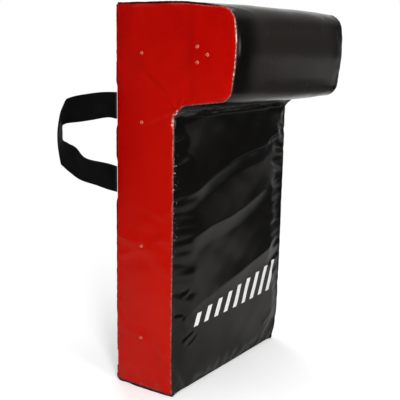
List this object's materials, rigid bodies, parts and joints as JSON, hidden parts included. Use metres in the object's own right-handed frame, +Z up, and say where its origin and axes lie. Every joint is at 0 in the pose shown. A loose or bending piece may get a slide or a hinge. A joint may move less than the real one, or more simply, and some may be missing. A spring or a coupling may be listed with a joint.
{
  "type": "rugby hit shield",
  "caption": "Padded contact-training shield with a deep bolster over its strike face, red vented sides, black faces, webbing hand loops at the back edges and a low back zip.",
  "frame": {"origin": "centre of the flat foot, on the floor", "axes": "+Z up, the strike face and the bolster look along -Y, the hand loops stand at +Y, and +X runs to the side panel that the picture hides"},
  "size_m": [0.5814, 0.3543, 0.7256],
  "materials": {
    "red_cover": "satin",
    "black_cover": "gloss",
    "foam": "matte",
    "webbing": "woven",
    "tape": "woven",
    "teeth": "satin",
    "zip_metal": "satin",
    "eyelet_metal": "nickel plated"
  },
  "bodies": {
    "shield": {"back_lower_panel": "black_cover", "back_panel": "black_cover", "base_panel": "black_cover", "bolster_core": "foam", "bolster_panel": "black_cover", "eyelet_left_1": "eyelet_metal", "eyelet_left_2": "eyelet_metal", "eyelet_left_3": "eyelet_metal", "eyelet_left_4": "eyelet_metal", "eyelet_left_5": "eyelet_metal", "eyelet_left_6": "eyelet_metal", "eyelet_left_7": "eyelet_metal", "eyelet_right_1": "eyelet_metal", "eyelet_right_2": "eyelet_metal", "eyelet_right_3": "eyelet_metal", "eyelet_right_4": "eyelet_metal", "eyelet_right_5": "eyelet_metal", "eyelet_right_6": "eyelet_metal", "eyelet_right_7": "eyelet_metal", "eyelet_washer_left_1": "eyelet_metal", "eyelet_washer_left_2": "eyelet_metal", "eyelet_washer_left_3": "eyelet_metal", "eyelet_washer_left_4": "eyelet_metal", "eyelet_washer_left_5": "eyelet_metal", "eyelet_washer_left_6": "eyelet_metal", "eyelet_washer_left_7": "eyelet_metal", "eyelet_washer_right_1": "eyelet_metal", "eyelet_washer_right_2": "eyelet_metal", "eyelet_washer_right_3": "eyelet_metal", "eyelet_washer_right_4": "eyelet_metal", "eyelet_washer_right_5": "eyelet_metal", "eyelet_washer_right_6": "eyelet_metal", "eyelet_washer_right_7": "eyelet_metal", "front_panel": "black_cover", "side_panel_left": "red_cover", "side_panel_right": "red_cover", "slab_core": "foam", "zip_stop_left": "zip_metal", "zip_stop_right": "zip_metal", "zip_tape_lower": "tape", "zip_tape_upper": "tape", "zip_teeth_lower": "teeth", "zip_teeth_upper": "teeth"},
    "left_loop": {"handle_left": "webbing"},
    "right_loop": {"handle_right": "webbing"},
    "slider": {"zip_slider": "zip_metal"},
    "pull": {"zip_pull": "zip_metal"}
  },
  "joints": [
    {"name": "handle_left_swing", "type": "hinge", "parent": "shield", "child": "left_loop", "pos_m": [-0.196, 0.066, 0.4713], "axis": [0, 0, -1], "range_deg": [-110, 110]},
    {"name": "handle_right_swing", "type": "hinge", "parent": "shield", "child": "right_loop", "pos_m": [0.196, 0.066, 0.4713], "axis": [0, 0, 1], "range_deg": [-110, 110]},
    {"name": "zip_slide", "type": "slide", "parent": "shield", "child": "slider", "axis": [-1, 0, 0], "range_m": [0, 0.316]},
    {"name": "zip_pull_flip", "type": "hinge", "parent": "slider", "child": "pull", "pos_m": [0.158, 0.0683, 0.046], "axis": [0, 0, -1], "range_deg": [0, 180]}
  ]
}
